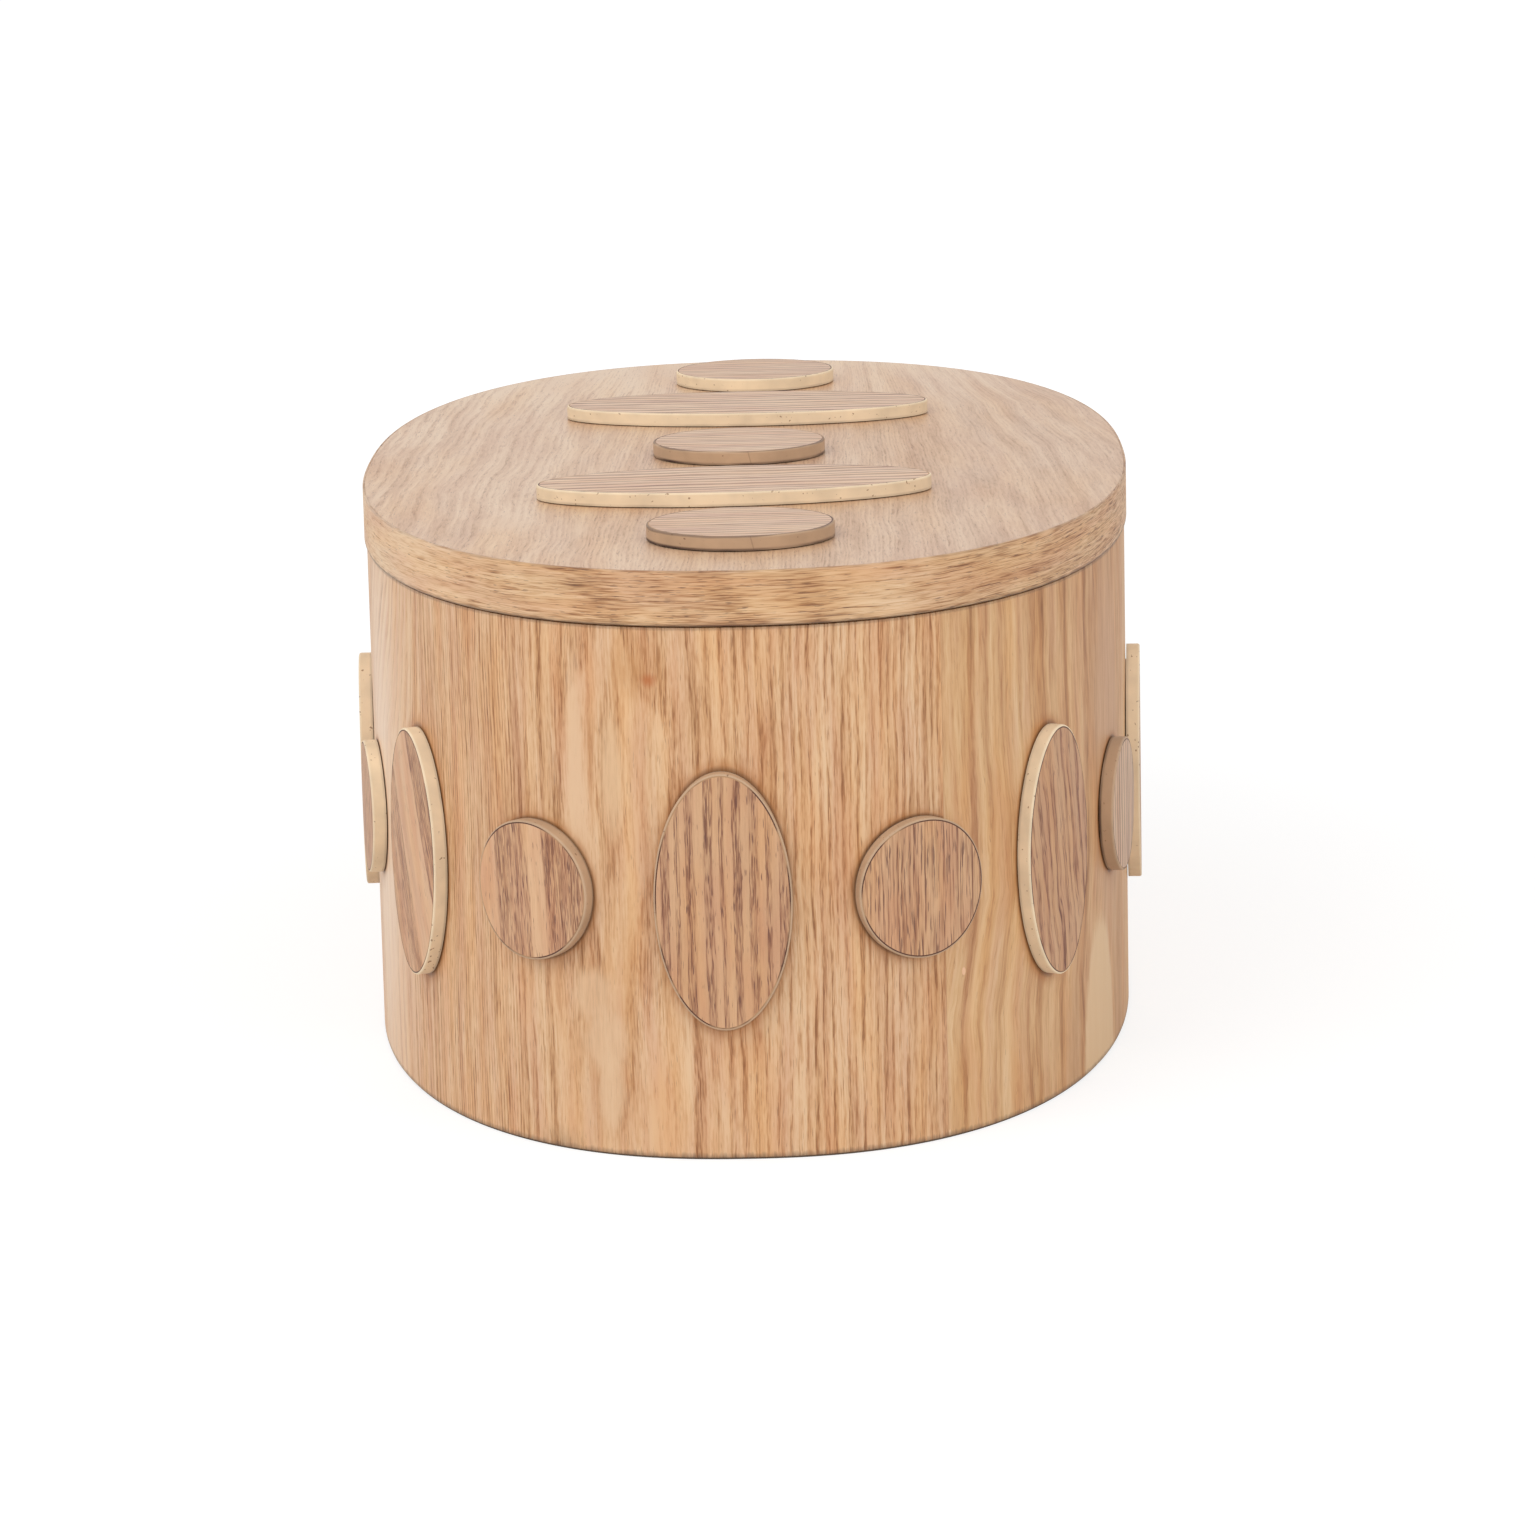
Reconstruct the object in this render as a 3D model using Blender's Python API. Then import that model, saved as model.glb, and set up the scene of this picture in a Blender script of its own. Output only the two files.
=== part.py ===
"""An oval keepsake box with a lift-off lid, trimmed with wooden ovals and rounds.

Metres. X runs across the box, Y along it and Z up. The front end faces -Y, and the box stands on Z = 0.
"""

import math

import bmesh
import bpy
import numpy as np
from mathutils import Matrix, Vector

# Driving dimensions of the whole box
lid_width = 0.2290
lid_length = 0.4310
lid_thickness = 0.0151
lid_overhang = 0.0007       # the lid stands proud of the wall all round
body_height = 0.1474
outline_power = 2.32        # 2 would be an ellipse, and more is squarer

# Boards and sheets
veneer_thickness = 0.0006
wall_core_thickness = 0.0048
base_thickness = 0.0060
veneer_lift = 0.0005        # the wall's veneer stops this far above the table

# The ring under the lid that drops inside the wall
ring_thickness = 0.0050
ring_height = 0.0070
ring_lead_in = 0.0010       # chamfer that guides the ring into the wall

# The ovals and rounds
trim_thickness = 0.0040
trim_arris = 0.0003         # the sanded edge round each face
side_round_width = 0.0388
side_oval_width = 0.0368
side_oval_height = 0.0710
side_trim_middle = 0.0728   # above the table
lid_round_width = 0.0522
lid_oval_length = 0.1148
lid_oval_width = 0.0522

# Clearances
glue_gap = 0.0003           # between pieces that are glued face to face
lid_gap = 0.0004            # the seam under the closed lid
base_clearance = 0.0003     # between the base board and the wall
ring_clearance = 0.0006     # between the lid's ring and the inside of the wall
veneer_joint_width = 0.0003

# Places round the wall, as shares of its length from the middle of the front end towards +X.
# The pieces were set by hand, so the nine round the front are not quite even. The rest share what is left.
front_trim_shares = (-0.225, -0.174, -0.114, -0.057, -0.005, 0.046, 0.0995, 0.1575, 0.2145)
rear_trim_count = 9
veneer_joint_shares = (0.0545, 0.5545)
band_joint_share = 0.5

# The row on the lid from the front end to the back: places across and along, as shares of the lid's
# width and length, and each piece's turn in degrees
lid_row_shares = ((0.0025, -0.370), (-0.010, -0.187), (-0.0085, -0.003), (-0.002, 0.189), (0.005, 0.375))
lid_row_turns = (0, 3.5, 0, -1.5, 0)

# Facets
outline_steps = 96
trim_columns = 20
lid_trim_steps = 48
outline_samples = 2880

half_width = lid_width / 2
half_length = lid_length / 2


def outline_point(turn):
    """A point of the lid's outline. A turn of 0 is the middle of the front end, and it grows towards +X."""
    across, along = math.sin(turn), -math.cos(turn)
    reach = 2 / outline_power
    x = half_width * math.copysign(abs(across) ** reach, across)
    y = half_length * math.copysign(abs(along) ** reach, along)
    return Vector((x, y))


def outward(point):
    """The outline's outward direction at one of its points."""
    slope = outline_power - 1
    x = math.copysign(abs(point.x / half_width) ** slope, point.x) / half_width
    y = math.copysign(abs(point.y / half_length) ** slope, point.y) / half_length
    return Vector((x, y)).normalized()


turns = np.linspace(0, 2 * math.pi, outline_samples + 1)
samples = np.array([outline_point(turn) for turn in turns])
run = np.concatenate([[0], np.cumsum(np.hypot(*np.diff(samples, axis=0).T))])
perimeter = run[-1]


def on_outline(share, inset):
    """The point at a share of the perimeter, moved inwards from the lid's outline by inset."""
    point = outline_point(float(np.interp((share % 1) * perimeter, run, turns)))
    return point - outward(point) * inset


def wood(name, colour, roughness):
    material = bpy.data.materials.new(name)
    material.use_nodes = True
    shader = material.node_tree.nodes["Principled BSDF"]
    shader.inputs["Base Color"].default_value = (*colour, 1)
    shader.inputs["Roughness"].default_value = roughness
    shader.inputs["Metallic"].default_value = 0
    return material


def finish(bm, name, material, location, parent, turn=0):
    """Makes an object of a closed mesh and puts it in its place."""
    mesh = bpy.data.meshes.new(name)
    bm.to_mesh(mesh)
    bm.free()
    mesh.shade_smooth()
    mesh.set_sharp_from_angle(angle=math.radians(30))
    mesh.materials.append(material)
    thing = bpy.data.objects.new(name, mesh)
    thing.location = location
    thing.rotation_euler.z = turn
    thing.parent = parent
    bpy.context.scene.collection.objects.link(thing)
    return thing


def thicken(bm, direction):
    """Pulls a flat sheet along direction into a closed board, with its faces pointing out."""
    pulled = bmesh.ops.extrude_face_region(bm, geom=bm.faces[:])["geom"]
    corners = [part for part in pulled if isinstance(part, bmesh.types.BMVert)]
    bmesh.ops.translate(bm, verts=corners, vec=direction)
    bmesh.ops.recalc_face_normals(bm, faces=bm.faces)


def chamfer(bm, edges, width):
    """Cuts a flat chamfer along edges."""
    bmesh.ops.bevel(bm, geom=edges, offset=width, segments=1, profile=0.5, affect="EDGES", material=-1)


def edges_at(bm, axis, level):
    """The edges that lie at one level along an axis."""
    near = glue_gap / 10
    return [e for e in bm.edges if all(abs(v.co[axis] - level) < near for v in e.verts)]


def board(name, inset, thickness, level, material, parent):
    """A flat oval board whose edge lies inset from the lid's outline."""
    bm = bmesh.new()
    edge = [bm.verts.new((*on_outline(k / outline_steps, inset), 0)) for k in range(outline_steps)]
    bm.faces.new(edge)
    thicken(bm, Vector((0, 0, thickness)))
    return finish(bm, name, material, (0, 0, level), parent)


def hoop(name, inset, thickness, level, height, material, parent, start=0.0, end=1.0, lead_in=0.0):
    """A bent strip that follows the outline between two shares. Its outer face lies inset from it."""
    whole = end - start == 1
    steps = round(outline_steps * (end - start))
    shares = [start + (end - start) * k / steps for k in range(steps if whole else steps + 1)]
    bm = bmesh.new()
    rails = []
    for depth in (inset, inset + thickness):
        rail = [bm.verts.new((*on_outline(share, depth), 0)) for share in shares]
        pairs = list(zip(rail, rail[1:])) + ([(rail[-1], rail[0])] if whole else [])
        rails += [bm.edges.new(pair) for pair in pairs]
    outer_rail = rails[:len(rails) // 2]
    bmesh.ops.bridge_loops(bm, edges=rails)
    thicken(bm, Vector((0, 0, height)))
    if lead_in:
        chamfer(bm, outer_rail, lead_in)
    return finish(bm, name, material, (0, 0, level), parent)


def bent_trim(name, share, width, height, material, parent):
    """An oval cut from a board and bent to the wall, standing upright at a share of the perimeter."""
    bm = bmesh.new()
    columns = []
    for k in range(trim_columns + 1):
        angle = math.pi * k / trim_columns
        along, up = -math.cos(angle) * width / 2, math.sin(angle) * height / 2
        ends = (0,) if k in (0, trim_columns) else (-up, up)
        columns.append([bm.verts.new((along, 0, z)) for z in ends])
    for left, right in zip(columns, columns[1:]):
        bm.faces.new(left + right[::-1])
    thicken(bm, Vector((0, -trim_thickness, 0)))
    rim = [e for e in edges_at(bm, 1, -trim_thickness) if any(abs(f.normal.y) < 0.5 for f in e.link_faces)]
    chamfer(bm, rim, trim_arris)
    for corner in bm.verts:
        depth = lid_overhang - glue_gap + corner.co.y
        corner.co.xy = on_outline(share + corner.co.x / perimeter, depth)
    middle = on_outline(share, lid_overhang)
    facing = outward(on_outline(share, 0))
    turn = math.atan2(facing.y, facing.x) + math.pi / 2
    place = Matrix.Translation((*middle, 0)) @ Matrix.Rotation(turn, 4, "Z")
    bm.transform(place.inverted())
    return finish(bm, name, material, (*middle, side_trim_middle), parent, turn)


def flat_trim(name, place, turn, length, width, level, material, parent):
    """An oval cut from a board and laid flat, its length along X before it is turned."""
    bm = bmesh.new()
    bmesh.ops.create_circle(bm, segments=lid_trim_steps, radius=1, cap_ends=True)
    bmesh.ops.scale(bm, verts=bm.verts, vec=(length / 2, width / 2, 1))
    thicken(bm, Vector((0, 0, trim_thickness)))
    chamfer(bm, edges_at(bm, 2, trim_thickness), trim_arris)
    return finish(bm, name, material, (*place, level), parent, turn)


def make_body(parent, woods):
    """The bent wall, veneered inside and out, and the base board set flush into its foot."""
    core_inset = lid_overhang + veneer_thickness + glue_gap
    lining_inset = core_inset + wall_core_thickness + glue_gap
    inside_inset = lining_inset + veneer_thickness
    hoop("wall_core", core_inset, wall_core_thickness, 0, body_height, woods["core"], parent)

    leaf_height = body_height - veneer_lift
    half_joint = veneer_joint_width / 2 / perimeter
    first, second = veneer_joint_shares
    leaves = {"wall_veneer_right": (first, second), "wall_veneer_left": (second, first + 1)}
    for name, (start, end) in leaves.items():
        hoop(name, lid_overhang, veneer_thickness, veneer_lift, leaf_height, woods["wall"], parent,
             start + half_joint, end - half_joint)

    base_inset = core_inset + wall_core_thickness + base_clearance
    board("base_board", base_inset, base_thickness, 0, woods["core"], parent)
    floor_level = base_thickness + glue_gap
    board("base_veneer", base_inset, veneer_thickness, floor_level, woods["lining"], parent)
    lining_level = floor_level + veneer_thickness + glue_gap
    hoop("wall_lining", lining_inset, veneer_thickness, lining_level, body_height - lining_level,
         woods["lining"], parent)
    return inside_inset


def make_lid(parent, woods, inside_inset):
    """The lid's board, veneered on both faces and banded round its rim, and the ring under it."""
    rim_inset = veneer_thickness + glue_gap
    board_level = lid_gap + veneer_thickness + glue_gap
    top_level = lid_gap + lid_thickness - veneer_thickness
    board_top = top_level - glue_gap
    board("lid_board", rim_inset, board_top - board_level, board_level, woods["core"], parent)
    board("lid_top_veneer", rim_inset, veneer_thickness, top_level, woods["lid"], parent)
    board("lid_lower_veneer", rim_inset, veneer_thickness, lid_gap, woods["lining"], parent)
    half_joint = veneer_joint_width / 2 / perimeter
    hoop("lid_edge_band", 0, veneer_thickness, lid_gap, lid_thickness, woods["band"], parent,
         band_joint_share + half_joint, band_joint_share + 1 - half_joint)
    hoop("lid_ring", inside_inset + ring_clearance, ring_thickness, lid_gap - glue_gap - ring_height,
         ring_height, woods["core"], parent, lead_in=ring_lead_in)
    return lid_gap + lid_thickness + glue_gap


def make_side_trim(parent, woods):
    """Ovals and rounds in turn round the wall, the first oval being the left one of the front nine."""
    first, last = front_trim_shares[0] + 1, front_trim_shares[-1]
    rear_step = (first - last) / (rear_trim_count + 1)
    shares = list(front_trim_shares) + [last + rear_step * (k + 1) for k in range(rear_trim_count)]
    for k, share in enumerate(shares):
        number = k // 2 + 1
        if k % 2 == 0:
            bent_trim(f"side_oval_{number}", share, side_oval_width, side_oval_height, woods["trim"], parent)
        else:
            bent_trim(f"side_round_{number}", share, side_round_width, side_round_width, woods["trim"], parent)


def make_lid_trim(parent, woods, level):
    """The row along the lid: rounds and ovals in turn, from the front end."""
    for k, ((across, along), turn) in enumerate(zip(lid_row_shares, lid_row_turns)):
        place = (across * lid_width, along * lid_length)
        number = k // 2 + 1
        if k % 2 == 0:
            name, length, width = f"lid_round_{number}", lid_round_width, lid_round_width
        else:
            name, length, width = f"lid_oval_{number}", lid_oval_length, lid_oval_width
        flat_trim(name, place, math.radians(turn), length, width, level, woods["lid_trim"], parent)


def main():
    for old in list(bpy.data.objects):
        bpy.data.objects.remove(old)
    woods = {
        "core": wood("birch_core_board", (0.62, 0.44, 0.25), 0.7),
        "wall": wood("ash_veneer_wall", (0.66, 0.42, 0.25), 0.5),
        "lid": wood("ash_veneer_lid", (0.68, 0.48, 0.34), 0.5),
        "band": wood("ash_veneer_band", (0.66, 0.41, 0.22), 0.5),
        "lining": wood("ash_veneer_lining", (0.64, 0.45, 0.29), 0.6),
        "trim": wood("ash_trim_side", (0.60, 0.40, 0.26), 0.5),
        "lid_trim": wood("ash_trim_lid", (0.62, 0.42, 0.29), 0.5),
    }
    scene_objects = bpy.context.scene.collection.objects
    body = bpy.data.objects.new("body_origin", None)
    lid = bpy.data.objects.new("lid_origin", None)
    lid.location.z = body_height
    for origin in (body, lid):
        scene_objects.link(origin)
    inside_inset = make_body(body, woods)
    make_side_trim(body, woods)
    trim_level = make_lid(lid, woods, inside_inset)
    make_lid_trim(lid, woods, trim_level)


main()
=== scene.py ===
import math

import bmesh
import bpy
import numpy as np
from mathutils import Matrix, Vector


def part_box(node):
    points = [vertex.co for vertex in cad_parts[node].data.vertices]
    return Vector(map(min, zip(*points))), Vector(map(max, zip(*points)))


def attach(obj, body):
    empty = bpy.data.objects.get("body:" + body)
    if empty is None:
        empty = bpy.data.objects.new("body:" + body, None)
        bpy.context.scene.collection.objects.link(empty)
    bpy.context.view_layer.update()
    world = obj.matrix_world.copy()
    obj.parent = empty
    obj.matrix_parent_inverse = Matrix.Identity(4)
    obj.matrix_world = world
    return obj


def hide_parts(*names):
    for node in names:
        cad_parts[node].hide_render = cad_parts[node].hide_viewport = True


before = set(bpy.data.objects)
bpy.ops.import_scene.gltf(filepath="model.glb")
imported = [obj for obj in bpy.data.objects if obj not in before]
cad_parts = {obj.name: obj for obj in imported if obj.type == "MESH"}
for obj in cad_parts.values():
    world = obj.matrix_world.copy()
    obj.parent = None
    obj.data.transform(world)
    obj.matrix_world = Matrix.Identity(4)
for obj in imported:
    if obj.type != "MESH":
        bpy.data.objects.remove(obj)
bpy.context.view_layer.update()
print("frame loaded")


# Small helpers

def linearColour(hexCode):
    parts = [int(hexCode[k:k + 2], 16) / 255 for k in (1, 3, 5)]
    return (*[p / 12.92 if p <= 0.04045 else ((p + 0.055) / 1.055) ** 2.4 for p in parts], 1)


def add(tree, kind, inputs=None, stops=None, **settings):
    # a node with its settings and links
    # an input is named or numbered, and takes a value, an output or a whole node for the output it has on
    made = tree.nodes.new("ShaderNode" + kind)
    for setting, value in settings.items():
        setattr(made, setting, value)
    for socket, value in (inputs or {}).items():
        if isinstance(value, bpy.types.Node):
            value = next(output for output in value.outputs if output.enabled)
        if isinstance(value, bpy.types.NodeSocket):
            tree.links.new(value, made.inputs[socket])
        else:
            made.inputs[socket].default_value = value
    for k, (position, level) in enumerate(stops or ()):
        spot = made.color_ramp.elements[k] if k < 2 else made.color_ramp.elements.new(position)
        spot.position = position
        spot.color = level if isinstance(level, tuple) else (level, level, level, 1)
    return made


# The oval that every bent piece follows

lidLow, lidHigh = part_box("lid_edge_band")
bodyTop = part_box("wall_core")[1][2]
outline = {
    "halfWidth": (lidHigh[0] - lidLow[0]) / 2,
    "halfLength": (lidHigh[1] - lidLow[1]) / 2,
    "power": 2.32,          # 2 would be an ellipse
    "samples": 5760,
}


def outlinePoint(turn):
    # a turn of 0 is the middle of the front end, and it grows towards +X
    across, along = math.sin(turn), -math.cos(turn)
    reach = 2 / outline["power"]
    x = outline["halfWidth"] * math.copysign(abs(across) ** reach, across)
    y = outline["halfLength"] * math.copysign(abs(along) ** reach, along)
    return Vector((x, y))


def outward(point):
    slope = outline["power"] - 1
    x = math.copysign(abs(point.x / outline["halfWidth"]) ** slope, point.x) / outline["halfWidth"]
    y = math.copysign(abs(point.y / outline["halfLength"]) ** slope, point.y) / outline["halfLength"]
    return Vector((x, y)).normalized()


turns = np.linspace(0, 2 * math.pi, outline["samples"] + 1)
samples = np.array([outlinePoint(turn) for turn in turns])
run = np.concatenate([[0], np.cumsum(np.hypot(*np.diff(samples, axis=0).T))])
perimeter = run[-1]


def onOutline(distance, inset):
    # the point this far round from the middle of the front end, moved in from the lid's outline
    point = outlinePoint(float(np.interp(distance % perimeter, run, turns)))
    return point - outward(point) * inset


# A board is shaped flat, in metres: X along the wall, Y inwards and Z up.
# Its flat places are kept in mm as the attribute "board", so that grain follows the wood when it is bent:
# board X runs across the grain, Y through the thickness and Z along the grain.

grainUp = Matrix.Identity(3)
grainAlongBox = Matrix(((1, 0, 0), (0, 0, -1), (0, 1, 0)))
grainAcrossBox = Matrix(((0, 1, 0), (0, 0, 1), (1, 0, 0)))
grainRoundRim = Matrix(((0, 0, 1), (0, -1, 0), (1, 0, 0)))


def markGrain(bm, grain, shift=(0, 0, 0)):
    layer = bm.verts.layers.float_vector.new("board")
    for corner in bm.verts:
        corner[layer] = grain @ corner.co * 1000 + Vector(shift)


def bend(bm):
    for corner in bm.verts:
        corner.co.xy = onOutline(corner.co.x, corner.co.y)


def softenEdges(bm, edges, width):
    bmesh.ops.bevel(bm, geom=edges, offset=width, segments=2, profile=0.5, affect="EDGES", material=-1)


def addPiece(bm, name, materials, body, node):
    mesh = bpy.data.meshes.new(name)
    bm.to_mesh(mesh)
    bm.free()
    mesh.shade_smooth()
    mesh.set_sharp_from_angle(angle=math.radians(14))       # facets that meet at more than this stay crisp
    for material in materials:
        mesh.materials.append(material)
    piece = bpy.data.objects.new(name, mesh)
    bpy.context.scene.collection.objects.link(piece)
    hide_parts(node)
    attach(piece, body)


# Ash and birch

fullNoise = (0.35, 0.65)            # a noise mostly stays between these
ash = {                             # what all the ash leaves share; sizes in mm across and along the grain
    "wobbleOver": (2.5, 9),
    "bandBreaks": (2.5, 22),
    "bandMost": 1.1,
    "cloudSpan": (0.42, 0.66),      # of the noise
    "poreFade": 0.06,
    "spotGrain": (1.2, 5.0),
    # halo and seam: glue stains with painted shade round each trim, and glue with painted contact shadow at
    # its foot
    "haloRagged": 0.12,
    "haloFade": (1.05, 1.2),        # 1 is on the trim's edge
    "seamFade": (1.01, 1.045),
    "lineDepth": 0.35,              # how deep a dark line lies against an open pore
    "poreDepth": 0.00008,           # metres
}


def woodMaterial(name, roughness):
    material = bpy.data.materials.new(name)
    material.use_nodes = True
    shader = material.node_tree.nodes["Principled BSDF"]
    shader.inputs["Metallic"].default_value = 0
    shader.inputs["IOR"].default_value = 1.5
    shader.inputs["Roughness"].default_value = roughness
    board = add(material.node_tree, "Attribute", attribute_name="board").outputs["Vector"]
    return material, material.node_tree, shader, board


def streaks(tree, board, across, along, shift, detail=1.0, span=None, levels=(0.0, 1.0)):
    # noise drawn out along the grain, with marks about this many mm across and along
    # the shift keeps it apart from other noises, and with a span, what lies inside it is turned into levels
    through = 4 * across
    laid = add(tree, "VectorMath", {0: board, 1: (1 / across, 1 / through, 1 / along), 2: (shift,) * 3},
               operation="MULTIPLY_ADD")
    noise = add(tree, "TexNoise", {"Vector": laid, "Scale": 1.0, "Detail": detail})
    if span:
        (start, end), (low, high) = span, levels
        noise = add(tree, "MapRange", {0: noise, 1: start, 2: end, 3: low, 4: high})
    return noise


def readTable(tree, value, table):
    # looks up a place in mm in pairs of place and level, straight between them
    start, end = table[0][0], table[-1][0]
    low, high = min(level for place, level in table), max(level for place, level in table)
    share = add(tree, "MapRange", {0: value, 1: start, 2: end})
    stops = [((place - start) / (end - start), (level - low) / (high - low)) for place, level in table]
    shade = add(tree, "ValToRGB", {0: share}, stops=stops)
    return add(tree, "MapRange", {0: shade, 3: low, 4: high})


def reachFrom(tree, board, across, along, halfWidth, halfHeight):
    # how far out a place lies from the middle of an upright oval, where 1 is on its edge
    away = add(tree, "VectorMath", {0: board, 1: (across, 0, along)}, operation="SUBTRACT")
    sized = add(tree, "VectorMath", {0: away, 1: (1 / halfWidth, 0, 1 / halfHeight)}, operation="MULTIPLY")
    return add(tree, "VectorMath", {0: sized}, operation="LENGTH")


def layGrain(tree, board, figure):
    # moves places sideways, so that the grain sways, wobbles, leans and steps aside as it does in the leaf
    split = add(tree, "SeparateXYZ", {0: board})
    along = split.outputs[2]
    place = split.outputs[0]
    if "lean" in figure:
        place = add(tree, "Math", {0: along, 1: -figure["lean"], 2: place}, operation="MULTIPLY_ADD")
    calm = readTable(tree, place, figure["calm"]) if "calm" in figure else 1.0
    for reach, sizes, shift, share in ((figure["sway"], figure["swayOver"], 0, calm),
                                       (figure["wobble"], ash["wobbleOver"], 1, 1.0)):
        noise = streaks(tree, board, *sizes, figure["seed"] + shift)
        swing = add(tree, "Math", {0: noise, 1: reach * 2, 2: -reach}, operation="MULTIPLY_ADD")
        place = add(tree, "Math", {0: swing, 1: share, 2: place}, operation="MULTIPLY_ADD")
    if "steps" in figure:
        step = readTable(tree, along, figure["steps"])
        share = readTable(tree, split.outputs[0], figure["stepShare"])
        place = add(tree, "Math", {0: step, 1: share, 2: place}, operation="MULTIPLY_ADD")
    laid = add(tree, "CombineXYZ", {0: place, 1: split.outputs[1], 2: along})
    return laid, place, along


def growthRings(tree, place, along, figure):
    # rings are counted sideways from the heart, and rounded over it where they close in a flame
    count = readTable(tree, place, figure["rings"])
    if "flame" in figure:
        beside = add(tree, "CombineXYZ", {0: count, 1: figure["blunt"]})
        blunted = add(tree, "VectorMath", {0: beside}, operation="LENGTH")
        away = add(tree, "Math", {0: place, 1: figure["heart"]}, operation="SUBTRACT")
        away = add(tree, "Math", {0: away}, operation="ABSOLUTE")
        near = add(tree, "MapRange", {0: away, 1: 0.0, 2: figure["flameReach"], 3: 1.0, 4: 0.0},
                   interpolation_type="SMOOTHSTEP")
        closing = readTable(tree, along, figure["flame"])
        count = add(tree, "Math", {0: closing, 1: near, 2: blunted}, operation="MULTIPLY_ADD")
    # good and poor years come about three in a row
    uneven = add(tree, "TexNoise", {"W": count, "Scale": 0.37, "Detail": 1.0}, noise_dimensions="1D")
    return add(tree, "Math", {0: uneven, 1: figure["uneven"], 2: count}, operation="MULTIPLY_ADD")


def porousBands(tree, laid, place, along, figure, look):
    # each ring opens with a coarse, porous band that fades into smooth late wood, and no two are alike
    rings = growthRings(tree, place, along, figure)
    part = add(tree, "Math", {0: rings}, operation="FRACT")
    whole = add(tree, "Math", {0: rings}, operation="FLOOR")
    porous = add(tree, "ValToRGB", {0: part}, stops=look["ringProfile"])
    ringTone = add(tree, "TexWhiteNoise", {"W": whole}, noise_dimensions="1D")
    strength = add(tree, "MapRange", {0: ringTone, 3: 1 - look["ringVariety"], 4: 1.0})
    porous = add(tree, "Math", {0: porous, 1: strength}, operation="MULTIPLY")
    across, length, least, most = look["patches"]
    patchy = streaks(tree, laid, across, length, figure["seed"] + 3, 2, fullNoise, (least, most))
    porous = add(tree, "Math", {0: porous, 1: patchy}, operation="MULTIPLY", use_clamp=True)
    if "ringStrength" in figure:
        share = readTable(tree, place, figure["ringStrength"])
        porous = add(tree, "Math", {0: porous, 1: share}, operation="MULTIPLY")
    return porous


def darkPlaces(tree, laid, place, along, dark, porous, figure, look):
    # where this leaf is darker or paler than its rings alone make it
    seed = figure["seed"]
    if "bands" in figure:       # strips that run the whole way along the grain
        band = readTable(tree, place, figure["bands"])
        broken = streaks(tree, laid, *ash["bandBreaks"], seed + 6, 2, fullNoise,
                         (look["bandLeast"], ash["bandMost"]))
        dark = add(tree, "Math", {0: band, 1: broken, 2: dark}, operation="MULTIPLY_ADD")
    if "heights" in figure:     # nor is the leaf equally dark all along its grain
        height = readTable(tree, along, figure["heights"])
        dark = add(tree, "Math", {0: height, 1: dark}, operation="ADD")
    if "flecks" in figure:      # slanting places along the grain where the figure darkens
        level = add(tree, "Math", {0: place, 1: figure["fleckLevel"]}, operation="SUBTRACT")
        slant = add(tree, "Math", {0: level, 1: figure["fleckSlant"], 2: along}, operation="MULTIPLY_ADD")
        across, length, reach = figure["fleckRagged"]
        ragged = streaks(tree, laid, across, length, seed + 5, detail=2)
        ragged = add(tree, "Math", {0: ragged, 1: reach * 2, 2: -reach}, operation="MULTIPLY_ADD")
        slant = add(tree, "Math", {0: ragged, 1: slant}, operation="ADD")
        fleck = readTable(tree, slant, figure["flecks"])
        dark = add(tree, "Math", {0: fleck, 1: dark}, operation="ADD")
        porous = add(tree, "Math", {0: fleck, 1: look["fleckPores"], 2: porous}, operation="MULTIPLY_ADD",
                     use_clamp=True)
    return dark, porous


def fibreLines(tree, laid, dark, porous, seed, look):
    # lines of several lengths, stronger in the porous bands
    for k, (across, length, low, high, weight, gate) in enumerate(look["lines"]):
        mark = streaks(tree, laid, across, length, seed + 11 + 3 * k, span=(low, high), levels=(0.0, weight))
        if gate:
            held = add(tree, "MapRange", {0: porous, 3: 1 - gate, 4: 1.0})
            dark = add(tree, "Math", {0: mark, 1: held, 2: dark}, operation="MULTIPLY_ADD")
        else:
            dark = add(tree, "Math", {0: mark, 1: dark}, operation="ADD")
    return dark


def ovalSpots(tree, board, colour, ragged, spots):
    for *oval, raggedness, fadeFrom, strength, tone in spots:
        reach = reachFrom(tree, board, *oval)
        rough = add(tree, "Math", {0: ragged, 1: raggedness, 2: reach}, operation="MULTIPLY_ADD")
        mask = add(tree, "MapRange", {0: rough, 1: fadeFrom, 2: 1 + raggedness / 2, 3: strength, 4: 0.0},
                   interpolation_type="SMOOTHSTEP")
        colour = add(tree, "Mix", {0: mask, 6: colour, 7: linearColour(tone)}, data_type="RGBA")
    return colour


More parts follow.
